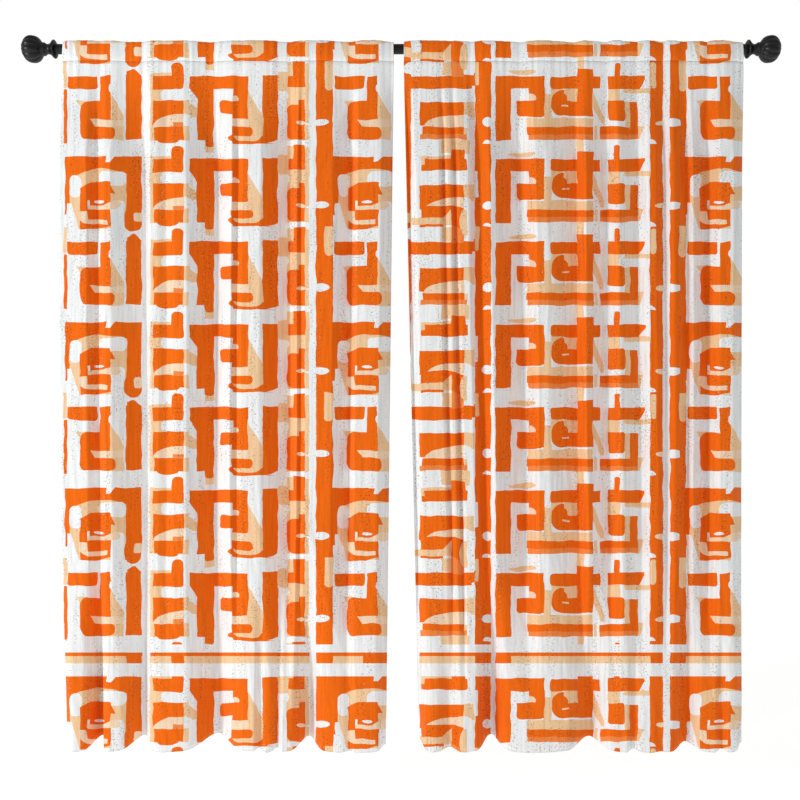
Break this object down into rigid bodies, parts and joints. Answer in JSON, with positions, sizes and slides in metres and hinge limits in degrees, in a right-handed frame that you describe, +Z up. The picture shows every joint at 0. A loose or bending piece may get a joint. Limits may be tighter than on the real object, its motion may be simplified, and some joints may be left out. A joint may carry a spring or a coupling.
{
  "type": "pair of window curtains on a rod",
  "caption": "Pair of rod-pocket window curtains with a geometric print, gathered on a round telescoping rod with ribbed ball finials and wall brackets.",
  "frame": {"origin": "on the wall, midway between the two finials, level with the rod's axis", "axes": "+X to the right along the rod, +Y into the wall, +Z up; the curtains' front faces -Y"},
  "size_m": [2.2966, 0.1809, 2.1328],
  "materials": {
    "black_metal": "satin",
    "black_resin": "satin",
    "steel": "satin",
    "nylon": "matte",
    "printed_cloth": "matte",
    "cloth_back": "matte",
    "thread": "matte"
  },
  "bodies": {
    "rod_and_brackets": {"left_rod_tube": "black_metal", "inner_rod_tube": "black_metal", "inner_tube_sleeve": "nylon", "left_tube_plug": "nylon", "left_wall_plate": "black_metal", "left_bracket_arm": "black_metal", "left_upper_wall_screw": "steel", "left_lower_wall_screw": "steel", "right_wall_plate": "black_metal", "right_bracket_arm": "black_metal", "right_upper_wall_screw": "steel", "right_lower_wall_screw": "steel", "left_panel_cloth": "printed_cloth", "left_pocket_front": "printed_cloth", "left_pocket_back": "cloth_back", "left_pocket_seam": "thread", "left_bottom_hem": "cloth_back", "left_bottom_hem_seam": "thread", "left_outer_side_hem": "cloth_back", "right_panel_cloth": "printed_cloth", "right_pocket_front": "printed_cloth", "right_pocket_back": "cloth_back", "right_pocket_seam": "thread", "right_bottom_hem": "cloth_back", "right_bottom_hem_seam": "thread", "right_outer_side_hem": "cloth_back"},
    "right_rod_end": {"right_rod_tube": "black_metal", "right_tube_plug": "nylon"},
    "left_finial_knob": {"left_finial": "black_resin", "left_finial_stud": "steel"},
    "left_cradle_screw": {"left_thumb_screw": "steel"},
    "left_leading_edge": {"left_leading_side_hem": "cloth_back"},
    "right_finial_knob": {"right_finial": "black_resin", "right_finial_stud": "steel"},
    "right_cradle_screw": {"right_thumb_screw": "steel"},
    "right_leading_edge": {"right_leading_side_hem": "cloth_back"}
  },
  "joints": [
    {"name": "left_curtain_draw", "type": "slide", "parent": "rod_and_brackets", "child": "left_leading_edge", "axis": [-1, 0, 0], "range_m": [0, 0.6], "deforming": ["left_panel_cloth", "left_pocket_front", "left_pocket_back", "left_pocket_seam", "left_bottom_hem", "left_bottom_hem_seam", "left_outer_side_hem"]},
    {"name": "left_finial_unscrew", "type": "hinge", "parent": "rod_and_brackets", "child": "left_finial_knob", "pos_m": [-1.045, -0.085, 0], "axis": [-1, 0, 0], "continuous": true},
    {"name": "left_thumb_screw_turn", "type": "hinge", "parent": "rod_and_brackets", "child": "left_cradle_screw", "pos_m": [-0.988, -0.085, -0.037], "axis": [0, 0, 1], "continuous": true},
    {"name": "right_curtain_draw", "type": "slide", "parent": "rod_and_brackets", "child": "right_leading_edge", "axis": [1, 0, 0], "range_m": [0, 0.6], "deforming": ["right_panel_cloth", "right_pocket_front", "right_pocket_back", "right_pocket_seam", "right_bottom_hem", "right_bottom_hem_seam", "right_outer_side_hem"]},
    {"name": "right_finial_unscrew", "type": "hinge", "parent": "right_rod_end", "child": "right_finial_knob", "pos_m": [1.045, -0.085, 0], "axis": [1, 0, 0], "continuous": true},
    {"name": "right_thumb_screw_turn", "type": "hinge", "parent": "rod_and_brackets", "child": "right_cradle_screw", "pos_m": [0.998, -0.085, -0.037], "axis": [0, 0, 1], "continuous": true},
    {"name": "rod_extend", "type": "slide", "parent": "rod_and_brackets", "child": "right_rod_end", "axis": [1, 0, 0], "range_m": [0, 0.3]}
  ]
}
